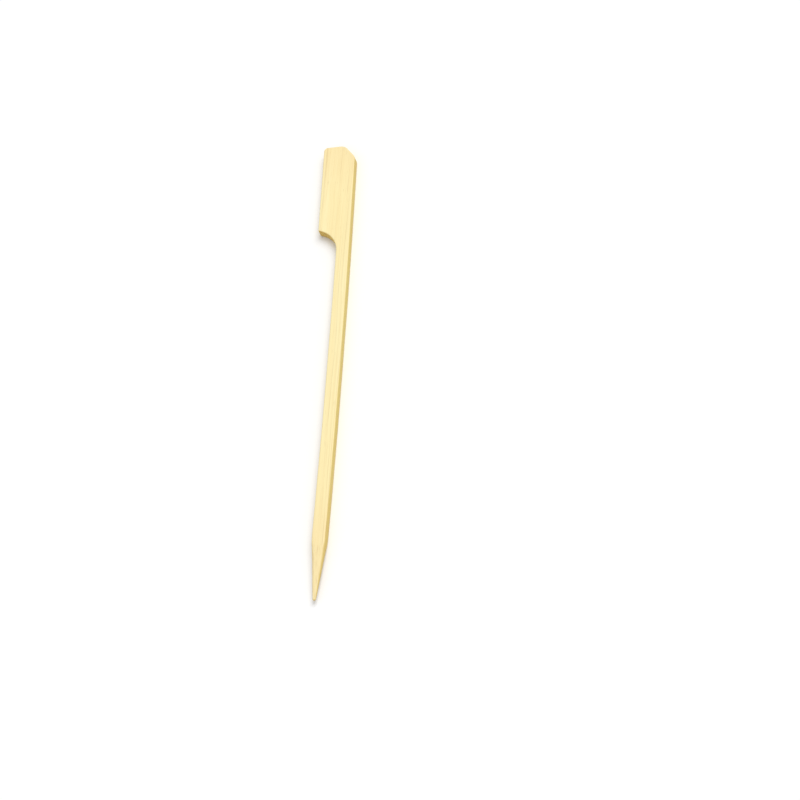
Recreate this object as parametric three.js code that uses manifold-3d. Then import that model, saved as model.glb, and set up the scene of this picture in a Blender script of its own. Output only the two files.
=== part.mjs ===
// Bamboo paddle skewer: one flat strip of bamboo with a wide grip at one end,
// a rounded shoulder on one side, a straight shaft and a ground point.
// Millimetres. It lies flat: X across, +Y towards the grip's end, +Z up.
// Origin: on the surface it lies on, under the centre of its bounding box.

import * as THREE from 'three';
import { mergeVertices } from 'three/addons/utils/BufferGeometryUtils.js';
import Module from 'manifold-3d';

const wasm = await Module();
wasm.setup();

// The strip
const length = 150;
const thickness = 3.0;
const edgeRadius = 0.28;

// Split bamboo is seldom dead straight. In its own plane the strip's middle
// stands off the line between its ends by this much, towards its straight edge.
const sidewaysBow = 0.6;

// The paddle, or grip
const paddleWidth = 9.9;
const paddleLength = 30.5;
const notchSideCornerRadius = 1.2;
const cornerCutAcross = 3.4;
const cornerCutAlong = 4.4;
const cornerCutBlendRadius = 2.5;

// The shoulder, on one side only: the shaft runs on from the paddle's other edge
const shoulderRadius = 8.0;

// The shaft
const shaftWidth = 3.9;

// The point, narrowed on its two edges and ground on both faces
const pointLength = 17;
const pointBlendRadius = 24;
const faceGrindLength = 16;
const tipWidth = 0.85;
const tipThickness = 0.6;
const tipCornerRadius = 0.32;

// How finely round stretches are divided
const arcSegments = 8;
const edgeSegments = 3;
const sideStep = 5;

// Points closer together than this are one point
const samePointReach = 0.0005;

// How far the cutters reach past the blank, so that no two faces coincide
const cutterOverrun = 2;

// Places that follow from the sizes
const topY = length / 2;
const tipY = -length / 2;
const notchEdgeX = -paddleWidth / 2;
const straightEdgeX = paddleWidth / 2;
const shaftEdgeX = straightEdgeX - shaftWidth;
const shaftCentreX = straightEdgeX - shaftWidth / 2;
const lipY = topY - paddleLength;
const notchDepth = paddleWidth - shaftWidth;
const shoulderSweep = Math.acos(Math.max(0, 1 - notchDepth / shoulderRadius));
const shoulderCentre = new THREE.Vector2(
  shaftEdgeX - shoulderRadius,
  lipY - shoulderRadius * Math.sin(shoulderSweep),
);

// Draws a rounded corner and the side that leads to it from the outline's
// current point. The radius is limited by the shorter of the two sides.
function roundCorner(outline, corner, next, radius) {
  const back = outline.currentPoint.clone().sub(corner);
  const ahead = next.clone().sub(corner);
  const halfAngle = back.angleTo(ahead) / 2;
  const room = Math.min(back.length(), ahead.length()) / 2;
  const reach = Math.min(radius / Math.tan(halfAngle), room);
  const fittedRadius = reach * Math.tan(halfAngle);
  const middle = back.clone().normalize().add(ahead.clone().normalize()).normalize();
  const centre = middle.multiplyScalar(fittedRadius / Math.sin(halfAngle)).add(corner);
  const start = back.normalize().multiplyScalar(reach).add(corner);
  const end = ahead.normalize().multiplyScalar(reach).add(corner);
  outline.absarc(
    centre.x,
    centre.y,
    fittedRadius,
    start.sub(centre).angle(),
    end.sub(centre).angle(),
    false,
  );
}

// The shoulder is a hollow arc that leaves the shaft's edge along the grain. A
// radius larger than the notch is deep meets the paddle's edge at a slant, and
// a smaller one ends in a straight lip.
function addShoulder(outline) {
  outline.lineTo(notchEdgeX, lipY);
  outline.absarc(shoulderCentre.x, shoulderCentre.y, shoulderRadius, shoulderSweep, 0, true);
}

// The plan of the blank, drawn anticlockwise from the foot of the shoulder
function planOutline() {
  const pointLeft = new THREE.Vector2(shaftEdgeX, tipY + pointLength);
  const tipLeft = new THREE.Vector2(shaftCentreX - tipWidth / 2, tipY);
  const tipRight = new THREE.Vector2(shaftCentreX + tipWidth / 2, tipY);
  const pointRight = new THREE.Vector2(straightEdgeX, tipY + pointLength);
  const cutSide = new THREE.Vector2(straightEdgeX, topY - cornerCutAlong);
  const cutTop = new THREE.Vector2(straightEdgeX - cornerCutAcross, topY);
  const notchCorner = new THREE.Vector2(notchEdgeX, topY);
  const lip = new THREE.Vector2(notchEdgeX, lipY);

  const outline = new THREE.Shape();
  outline.moveTo(shaftEdgeX, shoulderCentre.y);
  roundCorner(outline, pointLeft, tipLeft, pointBlendRadius);
  roundCorner(outline, tipLeft, tipRight, tipCornerRadius);
  roundCorner(outline, tipRight, pointRight, tipCornerRadius);
  roundCorner(outline, pointRight, cutSide, pointBlendRadius);
  roundCorner(outline, cutSide, cutTop, cornerCutBlendRadius);
  roundCorner(outline, cutTop, notchCorner, cornerCutBlendRadius);
  roundCorner(outline, notchCorner, lip, notchSideCornerRadius);
  addShoulder(outline);
  return new THREE.Shape(bowed(outlinePoints(outline)));
}

// The outline's points, each kept once where two curves meet, with the long
// straight sides divided so that they can follow the bow
function outlinePoints(outline) {
  const ends = outline.extractPoints(arcSegments).shape;
  const points = [];
  ends.forEach((end, index) => {
    const next = ends[(index + 1) % ends.length];
    const span = end.distanceTo(next);
    const steps = span > samePointReach ? Math.ceil(span / sideStep) : 0;
    for (let step = 0; step < steps; step += 1) {
      points.push(end.clone().lerp(next, step / steps));
    }
  });
  return points;
}

// Bends the plan sideways to a shallow parabola along the strip
function bowed(points) {
  const halfLength = length / 2;
  const bend = (point) => sidewaysBow * (1 - (point.y / halfLength) ** 2);
  return points.map((point) => new THREE.Vector2(point.x + bend(point), point.y));
}

// Merges shared corners and hands the closed mesh over as a solid
function toSolid(geometry) {
  geometry.deleteAttribute('normal');
  geometry.deleteAttribute('uv');
  const merged = mergeVertices(geometry);
  return new wasm.Manifold(new wasm.Mesh({
    numProp: 3,
    vertProperties: new Float32Array(merged.attributes.position.array),
    triVerts: new Uint32Array(merged.index.array),
  }));
}

function toGeometry(solid) {
  const mesh = solid.getMesh();
  const geometry = new THREE.BufferGeometry();
  geometry.setAttribute('position', new THREE.BufferAttribute(mesh.vertProperties, mesh.numProp));
  geometry.setIndex(new THREE.BufferAttribute(mesh.triVerts, 1));
  geometry.computeVertexNormals();
  return geometry;
}

// The strip punched to its outline, with every edge of both faces eased
function blank() {
  const geometry = new THREE.ExtrudeGeometry(planOutline(), {
    depth: thickness - 2 * edgeRadius,
    curveSegments: arcSegments,
    bevelEnabled: true,
    bevelThickness: edgeRadius,
    bevelSize: edgeRadius,
    bevelOffset: -edgeRadius,
    bevelSegments: edgeSegments,
  });
  geometry.translate(0, 0, edgeRadius);
  return toSolid(geometry);
}

// What the grinding belt takes off one face at the point: a long wedge across
// the shaft. It is drawn along Y and Z for the upper face, and mirrored for the
// lower one.
function faceGrind(upper) {
  const startY = tipY + faceGrindLength;
  const tipDrop = (thickness - tipThickness) / 2;
  const slope = tipDrop / faceGrindLength;
  const endY = tipY - cutterOverrun;
  const farY = startY + cutterOverrun;
  const heightAt = (y) => thickness / 2 + (upper ? 1 : -1) * (thickness / 2 - slope * (startY - y));
  const clearZ = upper ? thickness + cutterOverrun : -cutterOverrun;

  const wedge = new THREE.Shape();
  wedge.moveTo(endY, heightAt(endY));
  wedge.lineTo(farY, heightAt(farY));
  wedge.lineTo(farY, clearZ);
  wedge.lineTo(endY, clearZ);
  wedge.closePath();

  const geometry = new THREE.ExtrudeGeometry(wedge, {
    depth: shaftWidth + 2 * cutterOverrun,
    bevelEnabled: false,
  });
  const alongY = new THREE.Vector3(0, 1, 0);
  const upZ = new THREE.Vector3(0, 0, 1);
  const acrossX = new THREE.Vector3(1, 0, 0);
  geometry.applyMatrix4(new THREE.Matrix4().makeBasis(alongY, upZ, acrossX));
  geometry.translate(shaftEdgeX - cutterOverrun, 0, 0);
  return toSolid(geometry);
}

// Brings the middle of the bowed strip's box over the origin
function centredAcross(geometry) {
  geometry.computeBoundingBox();
  const middle = geometry.boundingBox.getCenter(new THREE.Vector3());
  return geometry.translate(-middle.x, 0, 0);
}

function skewer() {
  const solid = blank().subtract(faceGrind(true)).subtract(faceGrind(false));
  const bamboo = new THREE.MeshStandardMaterial({
    color: 0xf4e0aa,
    roughness: 0.62,
    metalness: 0,
  });
  const mesh = new THREE.Mesh(centredAcross(toGeometry(solid)), bamboo);
  mesh.name = 'skewer';
  return mesh;
}

const model = new THREE.Group();
model.name = 'bamboo_skewer';
model.add(skewer());

export default model;
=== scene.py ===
import math

import bmesh
import bpy
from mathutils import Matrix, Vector, noise


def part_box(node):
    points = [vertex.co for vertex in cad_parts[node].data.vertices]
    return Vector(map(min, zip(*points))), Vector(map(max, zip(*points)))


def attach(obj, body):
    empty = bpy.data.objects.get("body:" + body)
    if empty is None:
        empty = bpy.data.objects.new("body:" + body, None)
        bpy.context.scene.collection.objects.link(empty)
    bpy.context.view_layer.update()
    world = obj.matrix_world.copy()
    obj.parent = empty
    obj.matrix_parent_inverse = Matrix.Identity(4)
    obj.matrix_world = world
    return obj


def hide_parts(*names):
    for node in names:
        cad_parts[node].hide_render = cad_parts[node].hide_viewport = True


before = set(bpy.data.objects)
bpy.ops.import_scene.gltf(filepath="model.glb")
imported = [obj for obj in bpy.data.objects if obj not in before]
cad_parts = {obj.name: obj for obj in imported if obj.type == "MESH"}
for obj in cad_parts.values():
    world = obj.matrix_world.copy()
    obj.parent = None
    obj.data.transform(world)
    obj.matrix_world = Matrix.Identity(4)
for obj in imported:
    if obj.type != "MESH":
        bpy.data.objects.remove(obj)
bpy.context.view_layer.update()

# The skewer
# One flat strip of bamboo, split along its fibres, planed, punched to a paddle with
# a hollow shoulder and a straight shaft, ground to a blunt point and tumbled smooth.

mm = 0.001
strip_low, strip_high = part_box("skewer")
thickness = strip_high.z - strip_low.z
middle_z = (strip_high.z + strip_low.z) / 2
tip_y = strip_low.y
end_y = strip_high.y
middle_x = (strip_high.x + strip_low.x) / 2

paddle_width = 9.9 * mm
paddle_length = 30.5 * mm
notch_corner_radius = 1.2 * mm
corner_cut_across = 3.4 * mm
corner_cut_along = 4.4 * mm
corner_cut_blend_radius = 2.5 * mm
shoulder_radius = 8.0 * mm
lip_corner_radius = 0.3 * mm
shaft_width = 3.9 * mm
sideways_bow = 0.6 * mm

point_length = 17 * mm
point_blend_radius = 24 * mm
face_grind_length = 16 * mm
tip_width = 0.85 * mm
tip_thickness = 0.6 * mm
tip_corner_radius = 0.32 * mm

# Tumbling eases the edges of both faces. The point's four long corners are worn more:
# that starts by a lead above the point, grows over a spread, and stays under a share
# of the point's half width and half thickness.
eased_edge = 0.28 * mm
worn_point_edge = 0.8 * mm
worn_lead = 3 * mm
worn_spread = 6 * mm
worn_share = 0.7

# How far the fibres stand proud, and how far and how often the edges wander
fine_ridge = 0.012 * mm
broad_ridge = 0.02 * mm
edge_wander = 0.03 * mm
wanders_per_mm = 0.07
wander_pattern = 7.0

# How finely the round stretches and the flat ones are divided
shoulder_steps = 40
corner_steps = 10
ease_steps = 5
line_spacing_along = 0.9 * mm
line_spacing_across = 0.16 * mm
line_spacing_up = 0.25 * mm

notch_edge_x = -paddle_width / 2
straight_edge_x = paddle_width / 2
shaft_edge_x = straight_edge_x - shaft_width
shaft_middle_x = straight_edge_x - shaft_width / 2
lip_y = end_y - paddle_length
notch_depth = shaft_edge_x - notch_edge_x
shoulder_sweep = math.acos(max(0, 1 - notch_depth / shoulder_radius))
shoulder_middle = Vector((
    shaft_edge_x - shoulder_radius,
    lip_y - shoulder_radius * math.sin(shoulder_sweep),
    strip_low.z,
))


def punched_plan():
    """The strip's plan as one face at the height of its underside"""
    corners = {
        "foot": (shaft_edge_x, shoulder_middle.y),
        "point_left": (shaft_edge_x, tip_y + point_length),
        "tip_left": (shaft_middle_x - tip_width / 2, tip_y),
        "tip_right": (shaft_middle_x + tip_width / 2, tip_y),
        "point_right": (straight_edge_x, tip_y + point_length),
        "cut_side": (straight_edge_x, end_y - corner_cut_along),
        "cut_top": (straight_edge_x - corner_cut_across, end_y),
        "notch_corner": (notch_edge_x, end_y),
        "lip": (notch_edge_x, lip_y),
    }
    radii = {
        "point_left": point_blend_radius,
        "point_right": point_blend_radius,
        "tip_left": tip_corner_radius,
        "tip_right": tip_corner_radius,
        "cut_side": corner_cut_blend_radius,
        "cut_top": corner_cut_blend_radius,
        "notch_corner": notch_corner_radius,
        "lip": lip_corner_radius,
    }
    same_point = 0.0005 * mm
    strip = bmesh.new()
    marks = {}
    for name, (x, y) in corners.items():
        marks[name] = strip.verts.new((x, y, strip_low.z))
    ring = list(marks.values())
    for corner, following in zip(ring, ring[1:]):
        strip.edges.new((corner, following))
    bmesh.ops.spin(
        strip,
        geom=[marks["lip"]],
        cent=shoulder_middle,
        axis=(0, 0, 1),
        angle=-shoulder_sweep,
        steps=shoulder_steps,
    )
    bmesh.ops.remove_doubles(strip, verts=strip.verts, dist=same_point)
    bmesh.ops.contextual_create(strip, geom=strip.edges)
    for name, radius in radii.items():
        round_corner(strip, marks[name], radius)
    return strip


def round_corner(strip, corner, radius):
    """Rounds one corner of the plan to a radius, tangent to both of its sides"""
    sides = [edge.other_vert(corner).co - corner.co for edge in corner.link_edges]
    reach = radius / math.tan(sides[0].angle(sides[1]) / 2)
    bmesh.ops.bevel(
        strip,
        geom=[corner],
        offset=reach,
        segments=corner_steps,
        profile=0.5,
        affect="VERTICES",
        material=-1,
    )


def stood_up(strip):
    """Gives the plan its thickness"""
    raised = bmesh.ops.extrude_face_region(strip, geom=strip.faces)
    upper = [item for item in raised["geom"] if isinstance(item, bmesh.types.BMVert)]
    bmesh.ops.translate(strip, verts=upper, vec=(0, 0, thickness))
    bmesh.ops.recalc_face_normals(strip, faces=strip.faces)


def cut_by_plane(strip, place, facing, on_cut, **cleared):
    """Cuts the whole strip by a plane: a point that is nearer than on_cut lies on it"""
    everything = strip.verts[:] + strip.edges[:] + strip.faces[:]
    return bmesh.ops.bisect_plane(
        strip, geom=everything, dist=on_cut, plane_co=place, plane_no=facing, **cleared
    )


def ground_face(strip, side):
    """Takes a long slant off one face at the point: side is 1 above, -1 below"""
    drop = (thickness - tip_thickness) / 2
    start = Vector((0, tip_y + face_grind_length, middle_z + side * thickness / 2))
    out = Vector((0, -drop, side * face_grind_length)).normalized()
    cut = cut_by_plane(strip, start, out, on_cut=0.001 * mm, clear_outer=True)
    rim = [item for item in cut["geom_cut"] if isinstance(item, bmesh.types.BMEdge)]
    bmesh.ops.contextual_create(strip, geom=rim)
    bmesh.ops.recalc_face_normals(strip, faces=strip.faces)


def eased(strip):
    """Rounds the edges of both faces, as tumbling leaves them"""
    crisp = math.radians(35)
    rims = [
        edge
        for edge in strip.edges
        if edge.is_manifold
        and edge.calc_face_angle() > crisp
        and abs(edge.verts[0].co.z - edge.verts[1].co.z) < thickness / 2
    ]
    bmesh.ops.bevel(
        strip,
        geom=rims,
        offset=eased_edge,
        offset_type="OFFSET",
        segments=ease_steps,
        profile=0.5,
        affect="EDGES",
        material=-1,
    )


def ruled(strip, direction, low, high, spacing):
    """Cuts lines into the strip at even steps, so that the fibres can stand in relief"""
    count = max(1, round((high - low) / spacing))
    for step in range(1, count):
        place = direction * (low + (high - low) * step / count)
        cut_by_plane(strip, place, direction, on_cut=0.01 * mm)


def worn_point(strip):
    """Rounds the point's four long corners more than the rest, as the grinding belt does"""
    for corner in strip.verts:
        from_tip = corner.co.y - tip_y
        taper = min(1, from_tip / point_length)
        slant = min(1, from_tip / face_grind_length)
        half_width = (tip_width + (shaft_width - tip_width) * taper) / 2
        half_height = (tip_thickness + (thickness - tip_thickness) * slant) / 2
        wear = max(0, min(1, (point_length + worn_lead - from_tip) / worn_spread))
        wear *= wear * (3 - 2 * wear)
        radius = eased_edge + (worn_point_edge - eased_edge) * wear
        radius = min(radius, worn_share * half_width, worn_share * half_height)
        across = corner.co.x - shaft_middle_x
        up = corner.co.z - middle_z
        past = Vector((abs(across) - half_width + radius, abs(up) - half_height + radius))
        if wear > 0 and past.x > 0 and past.y > 0 and past.length > radius:
            past *= radius / past.length
            sideways = half_width - radius + past.x
            upwards = half_height - radius + past.y
            corner.co.x = shaft_middle_x + math.copysign(sideways, across)
            corner.co.z = middle_z + math.copysign(upwards, up)


def bowed(strip):
    """Bends the strip sideways in its own plane, as split bamboo dries"""
    for corner in strip.verts:
        corner.co.x += sideways_bow * (1 - (corner.co.y / end_y) ** 2)
    places = [corner.co.x for corner in strip.verts]
    back = middle_x - (min(places) + max(places)) / 2
    bmesh.ops.translate(strip, verts=strip.verts, vec=(back, 0, 0))


def ridges(spot, across, along, shift=0):
    """Ridges drawn out along the grain, from -1 to 1: so many across and along each mm"""
    return noise.noise(Vector((spot.x * across + shift, spot.y * along, spot.z * across)))


def raised_fibres(strip):
    """Lets harder fibres stand a little proud, and the edges wander a hair"""
    strip.normal_update()
    moves = []
    for corner in strip.verts:
        spot = corner.co / mm
        fine = ridges(spot, across=2.6, along=0.02) * fine_ridge
        broad = ridges(spot, across=0.7, along=0.03, shift=30) * broad_ridge
        along_grain = 1 - abs(corner.normal.y)
        edge_spot = Vector((spot.y * wanders_per_mm, corner.normal.x, wander_pattern))
        wander = noise.noise(edge_spot) * edge_wander * abs(corner.normal.x)
        moves.append(corner.normal * ((fine + broad) * along_grain) + Vector((wander, 0, 0)))
    for corner, move in zip(strip.verts, moves):
        corner.co += move


strip = punched_plan()
stood_up(strip)
ground_face(strip, 1)
ground_face(strip, -1)
eased(strip)
ruled(strip, Vector((0, 1, 0)), tip_y, end_y, line_spacing_along)
ruled(strip, Vector((1, 0, 0)), notch_edge_x, straight_edge_x, line_spacing_across)
ruled(strip, Vector((0, 0, 1)), strip_low.z, strip_high.z, line_spacing_up)
worn_point(strip)
bowed(strip)
raised_fibres(strip)

skewer_mesh = bpy.data.meshes.new("paddle_skewer")
strip.to_mesh(skewer_mesh)
strip.free()
skewer_mesh.shade_smooth()
paddle_skewer = bpy.data.objects.new("paddle_skewer", skewer_mesh)
bpy.context.scene.collection.objects.link(paddle_skewer)


def colour(red, green, blue):
    """A colour given as it looks on screen, from 0 to 255"""
    def linear(part):
        part /= 255
        return part / 12.92 if part <= 0.04045 else ((part + 0.055) / 1.055) ** 2.4
    return (linear(red), linear(green), linear(blue), 1)


pale_straw = colour(253, 240, 187)
warm_straw = colour(252, 235, 178)
end_straw = colour(250, 230, 175)
wide_streak_straw = colour(241, 214, 150)
thin_streak_straw = colour(236, 205, 138)
# Warm tint on walls and cut ends: partly their own colour, partly painted warm bounce light
wall_tint_and_painted_bounce = colour(252, 246, 207)
end_grain_straw = colour(245, 207, 118)
rod_brown = colour(192, 146, 82)
core_brown = colour(158, 112, 58)
hair_brown = colour(176, 132, 78)

# How fine each pattern is: its cells for each millimetre across, along and up. The
# rods lie in the strip's cross section, so theirs are across and up.
drift_cells = (0.12, 0.03, 0.12)
thick_rod_cells = (1.25, 1.4, 0)
thin_rod_cells = (2.3, 2.0, 0)
rod_fading_cells = (1.1, 0.03, 1.1)
warm_cloud_cells = (0.16, 0.016, 0.2)
wide_streak_cells = (0.95, 0.009, 0.95)
thin_streak_cells = (5.5, 0.016, 5.5)
hair_cells = (13.0, 0.3, 13.0)
punch_mark_cells = (7.0, 7.0, 0.4)

# How strongly each colour shows
wide_streak_strength = 0.19
thin_streak_strength = 0.35
hair_strength = 0.35
end_grain_strength = 0.65
rod_on_faces, rod_on_ends = 0.14, 0.7
core_on_faces, core_on_ends = 0.22, 0.6

# Places along the strip between which it grows warmer, towards its two ends, and
# places across it between which its rods of fibre turn from thick to thin
paddle_warmth = (55 * mm, 77 * mm)
point_warmth = (-40 * mm, -58 * mm)
thick_to_thin = (-2 * mm, 3.5 * mm)

# How far the fibres wander, how unevenly the rods lie, and how the surface shines and
# stands in relief
drift_reach = 1.1 * mm
rod_scatter = 0.85
face_roughness, streak_roughness, end_roughness = 0.64, 0.52, 0.85
gloss = 0.3
mark_depth = 1.6
relief_strength = 0.35
relief_height = 0.03 * mm


def node(tree, kind, name, **settings):
    made = tree.nodes.new(kind)
    made.name = made.label = name
    for setting, value in settings.items():
        setattr(made, setting, value)
    return made


def feed(tree, socket, source):
    """Joins a socket to an output, or sets its value"""
    if isinstance(source, bpy.types.NodeSocket):
        tree.links.new(source, socket)
    else:
        socket.default_value = source


def combined(tree, name, operation, first, second=0.0):
    made = node(tree, "ShaderNodeMath", name, operation=operation)
    feed(tree, made.inputs[0], first)
    feed(tree, made.inputs[1], second)
    return made.outputs["Value"]


def combined_places(tree, name, operation, first, second):
    made = node(tree, "ShaderNodeVectorMath", name, operation=operation)
    feed(tree, made.inputs[0], first)
    feed(tree, made.inputs[1], second)
    return made.outputs["Vector"]


def stretched(tree, name, place, per_mm):
    """The place on the skewer scaled to so many pattern cells for each millimetre"""
    return combined_places(tree, name, "MULTIPLY", place, [cells / mm for cells in per_mm])


def drawn_out_noise(tree, name, place, per_mm, detail, roughness):
    made = node(tree, "ShaderNodeTexNoise", name)
    feed(tree, made.inputs["Vector"], stretched(tree, name + " scale", place, per_mm))
    made.inputs["Scale"].default_value = 1
    made.inputs["Detail"].default_value = detail
    made.inputs["Roughness"].default_value = roughness
    return made.outputs


def streaks(tree, name, place, per_mm, detail):
    """Cloudy noise drawn out along the grain, from 0 to 1"""
    return drawn_out_noise(tree, name, place, per_mm, detail, roughness=0.55)["Fac"]


def fibre_rods(tree, name, section, per_mm):
    """How far from the nearest rod of fibre: rods run the whole length of the strip"""
    rods = node(tree, "ShaderNodeTexVoronoi", name, feature="F1", voronoi_dimensions="2D")
    feed(tree, rods.inputs["Vector"], stretched(tree, name + " scale", section, per_mm))
    rods.inputs["Scale"].default_value = 1
    rods.inputs["Randomness"].default_value = rod_scatter
    return rods.outputs["Distance"]


def eased_range(tree, name, value, start, end, low=0.0, high=1.0):
    """Goes smoothly from low to high while a value goes from start to end"""
    made = node(tree, "ShaderNodeMapRange", name, interpolation_type="SMOOTHSTEP")
    feed(tree, made.inputs["Value"], value)
    made.inputs["From Min"].default_value = start
    made.inputs["From Max"].default_value = end
    made.inputs["To Min"].default_value = low
    made.inputs["To Max"].default_value = high
    return made.outputs["Result"]


def mixed(tree, name, kind, amount, first, second, **settings):
    """Mixes two numbers or two colours: the kind is Float or Color"""
    made = node(tree, "ShaderNodeMix", name, **settings)
    inlets = {socket.identifier: socket for socket in made.inputs}
    outlets = {socket.identifier: socket for socket in made.outputs}
    feed(tree, inlets["Factor_Float"], amount)
    feed(tree, inlets["A_" + kind], first)
    feed(tree, inlets["B_" + kind], second)
    return outlets["Result_" + kind]


def blended(tree, name, amount, first, second):
    return mixed(tree, name, "Float", amount, first, second, data_type="FLOAT")


def tinted(tree, name, amount, under, over, blend="MIX"):
    return mixed(
        tree, name, "Color", amount, under, over, data_type="RGBA", blend_type=blend
    )


def bamboo():
    """Bare planed bamboo: pale ground with faint fibres along it, and dots at cut ends"""
    finish = bpy.data.materials.new("bamboo")
    finish.use_nodes = True
    tree = finish.node_tree
    shader = tree.nodes["Principled BSDF"]
    where = node(tree, "ShaderNodeTexCoord", "place")
    place = where.outputs["Object"]

    # The fibres wander a little from straight, across and up
    drift = drawn_out_noise(tree, "drift", place, drift_cells, detail=1, roughness=0.5)
    centred = combined_places(
        tree, "drift centred", "SUBTRACT", drift["Color"], (0.5, 0.5, 0.5)
    )
    across = combined_places(
        tree, "drift across", "MULTIPLY", centred, (drift_reach, 0, drift_reach)
    )
    fibre_place = combined_places(tree, "drifted place", "ADD", place, across)
    parts = node(tree, "ShaderNodeSeparateXYZ", "drifted parts")
    feed(tree, parts.inputs["Vector"], fibre_place)
    x, y, z = parts.outputs

    # Cut ends face along the grain, and walls face sideways
    facing = node(tree, "ShaderNodeSeparateXYZ", "facing")
    feed(tree, facing.inputs["Vector"], where.outputs["Normal"])
    facing_along = combined(tree, "facing along", "ABSOLUTE", facing.outputs["Y"])
    facing_up = combined(tree, "facing up", "ABSOLUTE", facing.outputs["Z"])
    end_grain = eased_range(tree, "end grain", facing_along, start=0.25, end=0.8)
    wall = eased_range(tree, "wall", facing_up, start=0.85, end=0.35)

    # Rods of fibre with dark cores, few and thick towards the notch, many and thin
    # towards the straight edge, where the skin of the culm was
    section = node(tree, "ShaderNodeCombineXYZ", "cross section")
    feed(tree, section.inputs["X"], x)
    feed(tree, section.inputs["Y"], z)
    section_place = section.outputs["Vector"]
    thick_rods = fibre_rods(tree, "thick rods", section_place, thick_rod_cells)
    thin_rods = fibre_rods(tree, "thin rods", section_place, thin_rod_cells)
    skin_side = eased_range(tree, "skin side", x, *thick_to_thin)
    fading = streaks(tree, "rod fading", fibre_place, rod_fading_cells, detail=1)
    rod_strength = eased_range(
        tree, "rod strength", fading, start=0.35, end=0.65, low=0.35, high=1
    )

    def fibre(name, rim, heart):
        """Fibre that fills each rod from its heart and fades out towards its rim"""
        thick = eased_range(tree, "thick " + name, thick_rods, start=rim, end=heart)
        thin = eased_range(tree, "thin " + name, thin_rods, start=rim, end=heart)
        either = blended(tree, name + "s", skin_side, thick, thin)
        return combined(tree, name, "MULTIPLY", either, rod_strength)

    rod = fibre("rod", rim=0.36, heart=0.14)
    core = fibre("core", rim=0.13, heart=0.05)

    # Ground colour, from pale straw to a warmer straw, warmest towards both ends
    clouds = streaks(tree, "warm clouds", fibre_place, warm_cloud_cells, detail=1)
    warmth = eased_range(tree, "warmth", clouds, start=0.35, end=0.7)
    ground = tinted(tree, "ground", warmth, pale_straw, warm_straw)
    paddle_warm = eased_range(tree, "paddle warmth", y, *paddle_warmth)
    point_warm = eased_range(tree, "point warmth", y, *point_warmth)
    end_warmth = combined(tree, "end warmth", "MAXIMUM", paddle_warm, point_warm)
    ground = tinted(tree, "end warmth tint", end_warmth, ground, end_straw)

    # Wide faint streaks and thin ones along the grain
    wide = streaks(tree, "wide streaks", fibre_place, wide_streak_cells, detail=2)
    wide_streak = eased_range(
        tree, "wide streak", wide, start=0.42, end=0.7, high=wide_streak_strength
    )
    ground = tinted(tree, "wide streak tint", wide_streak, ground, wide_streak_straw)
    thin = streaks(tree, "thin streaks", fibre_place, thin_streak_cells, detail=2)
    thin_streak = eased_range(
        tree, "thin streak", thin, start=0.46, end=0.72, high=thin_streak_strength
    )
    ground = tinted(tree, "thin streak tint", thin_streak, ground, thin_streak_straw)

    # Walls are warmer than the planed faces, partly in their own colour and partly by
    # painted warm bounce light, and the cut ends more so
    ground = tinted(tree, "wall tint and painted bounce", wall, ground, wall_tint_and_painted_bounce, blend="MULTIPLY")
    end_amount = combined(tree, "end amount", "MULTIPLY", end_grain, end_grain_strength)
    ground = tinted(tree, "end grain tint", end_amount, ground, end_grain_straw)

    # Rods and their cores are faint on the planed faces and plain at the cut ends
    rod_darkness = eased_range(
        tree, "rod darkness", end_grain, 0, 1, low=rod_on_faces, high=rod_on_ends
    )
    rod_amount = combined(tree, "rod amount", "MULTIPLY", rod, rod_darkness)
    ground = tinted(tree, "rod tint", rod_amount, ground, rod_brown)
    core_darkness = eased_range(
        tree, "core darkness", end_grain, 0, 1, low=core_on_faces, high=core_on_ends
    )
    core_amount = combined(tree, "core amount", "MULTIPLY", core, core_darkness)
    ground = tinted(tree, "core tint", core_amount, ground, core_brown)

    # Fine short hairs of darker fibre
    hairs = streaks(tree, "hairs", fibre_place, hair_cells, detail=0)
    hair = eased_range(tree, "hair", hairs, start=0.76, end=0.86, high=hair_strength)
    ground = tinted(tree, "hair tint", hair, ground, hair_brown)
    feed(tree, shader.inputs["Base Color"], ground)

    # Hard fibres keep a faint sheen, and the cut ends are dull
    sheen = eased_range(
        tree, "fibre sheen", thin, 0.3, 0.7, low=face_roughness, high=streak_roughness
    )
    dullness = blended(tree, "dullness", end_grain, sheen, end_roughness)
    feed(tree, shader.inputs["Roughness"], dullness)
    shader.inputs["Specular IOR Level"].default_value = gloss

    # Fibres stand a little proud, and the punch leaves fine marks down the cut ends
    marks = streaks(tree, "punch marks", place, punch_mark_cells, detail=2)
    depth = eased_range(tree, "mark depth", end_grain, 0, 1, high=mark_depth)
    marked = combined(tree, "marked ends", "MULTIPLY", marks, depth)
    fibre_height = combined(tree, "fibre height", "ADD", thin, rod)
    height = combined(tree, "height", "ADD", fibre_height, marked)
    relief = node(tree, "ShaderNodeBump", "fibre relief")
    relief.inputs["Strength"].default_value = relief_strength
    relief.inputs["Distance"].default_value = relief_height
    feed(tree, relief.inputs["Height"], height)
    feed(tree, shader.inputs["Normal"], relief.outputs["Normal"])
    return finish


paddle_skewer.data.materials.append(bamboo())
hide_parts("skewer")
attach(paddle_skewer, "root")

# The floor
# A plain white surface under the skewer. It shows white to the camera, with a soft
# shadow, and throws back part of the light, a little warm, as a pale wooden table would.

floor_reach = 3.0
shown_white = (1, 1, 1, 1)
thrown_back = (0.56, 0.50, 0.37, 1)

floor_mesh = bpy.data.meshes.new("floor")
sheet = bmesh.new()
bmesh.ops.create_grid(sheet, x_segments=1, y_segments=1, size=floor_reach)
bmesh.ops.translate(sheet, verts=sheet.verts, vec=(0, 0, strip_low.z))
sheet.to_mesh(floor_mesh)
sheet.free()
floor = bpy.data.objects.new("floor", floor_mesh)
bpy.context.scene.collection.objects.link(floor)


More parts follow.
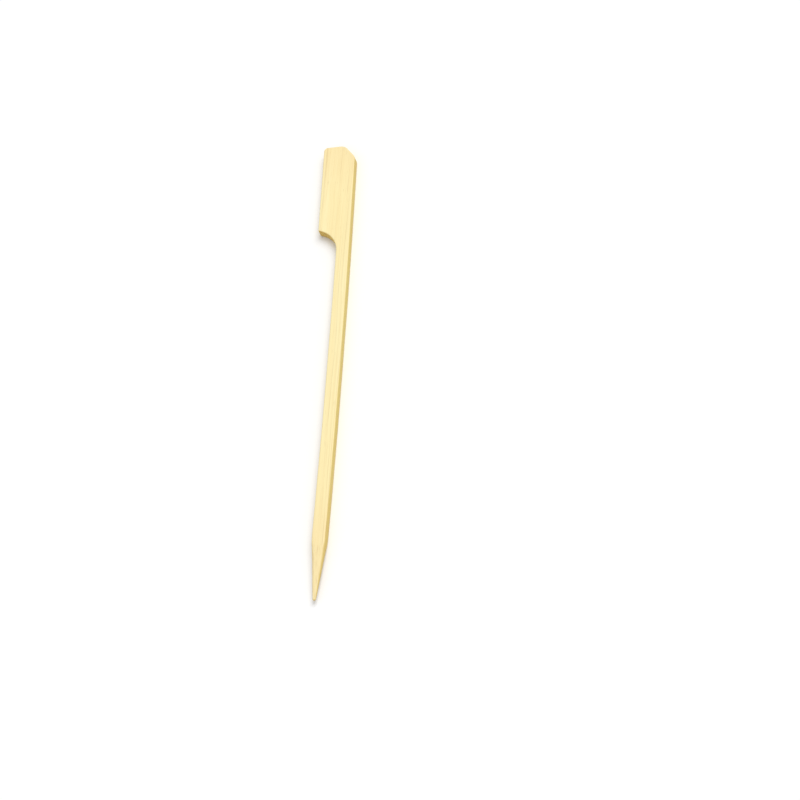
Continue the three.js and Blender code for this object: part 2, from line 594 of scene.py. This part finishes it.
def seen_directly(tree):
    """1 for rays from the camera, also by way of gloss or glass, and 0 for soft light"""
    rays = node(tree, "ShaderNodeLightPath", "rays").outputs
    glossy = combined(
        tree, "camera or gloss", "MAXIMUM", rays["Is Camera Ray"], rays["Is Glossy Ray"]
    )
    return combined(tree, "seen directly", "MAXIMUM", glossy, rays["Is Transmission Ray"])


def shown_or_lit(tree, name, shown, lit, outlet):
    """Shows one shader to the camera, and lights the skewer by the other"""
    mix = node(tree, "ShaderNodeMixShader", name)
    lit_inlet, shown_inlet = mix.inputs[1:]
    feed(tree, mix.inputs["Fac"], seen_directly(tree))
    feed(tree, lit_inlet, lit)
    feed(tree, shown_inlet, shown)
    feed(tree, outlet.inputs["Surface"], mix.outputs["Shader"])


def white_floor():
    """Matt white to the camera, and less bright where it throws light back"""
    finish = bpy.data.materials.new("white floor")
    finish.use_nodes = True
    tree = finish.node_tree
    tree.nodes.remove(tree.nodes["Principled BSDF"])
    shown = node(tree, "ShaderNodeBsdfDiffuse", "shown white")
    shown.inputs["Color"].default_value = shown_white
    lit = node(tree, "ShaderNodeBsdfDiffuse", "throws back")
    lit.inputs["Color"].default_value = thrown_back
    outlet = tree.nodes["Material Output"]
    shown_or_lit(tree, "floor", shown.outputs["BSDF"], lit.outputs["BSDF"], outlet)
    return finish


floor.data.materials.append(white_floor())

# The light
# Soft daylight from all round, and one broad soft lamp high up behind the paddle,
# so the sides that face the camera are a little darker than the top.

sky_level = 0.605
lamp_level = 0.425
lamp_spread = math.radians(45)
lamp_from = Vector((0.3, 0.5, 0.9)).normalized()
full_white = 1

sky = bpy.data.worlds.new("sky")
sky.use_nodes = True
sky_tree = sky.node_tree
sky_light = sky_tree.nodes["Background"]
sky_light.inputs["Color"].default_value = shown_white
sky_light.inputs["Strength"].default_value = sky_level
sky_shown = node(sky_tree, "ShaderNodeBackground", "shown sky")
sky_shown.inputs["Color"].default_value = shown_white
sky_shown.inputs["Strength"].default_value = full_white
shown_or_lit(
    sky_tree,
    "sky",
    sky_shown.outputs["Background"],
    sky_light.outputs["Background"],
    sky_tree.nodes["World Output"],
)
bpy.context.scene.world = sky

lamp_data = bpy.data.lights.new("broad lamp", "SUN")
lamp_data.energy = lamp_level * math.pi / lamp_from.z
lamp_data.angle = lamp_spread
lamp = bpy.data.objects.new("broad lamp", lamp_data)
lamp.rotation_euler = lamp_from.to_track_quat("Z", "Y").to_euler()
lamp.location = lamp_from
bpy.context.scene.collection.objects.link(lamp)

# The camera
# It looks down on the skewer from beyond the point and a little to the right, as the
# photograph does.

camera_place = (161.23 * mm, -287.79 * mm, 473.36 * mm)
camera_turn = (29.869, 14.573, 3.164)
lens_length = 90
film_width = 36

camera_data = bpy.data.cameras.new("camera")
camera_data.sensor_width = film_width
camera_data.lens = lens_length
camera = bpy.data.objects.new("camera", camera_data)
camera.location = camera_place
camera.rotation_euler = [math.radians(angle) for angle in camera_turn]
bpy.context.scene.collection.objects.link(camera)
bpy.context.scene.camera = camera

bpy.context.scene.view_settings.view_transform = "Standard"
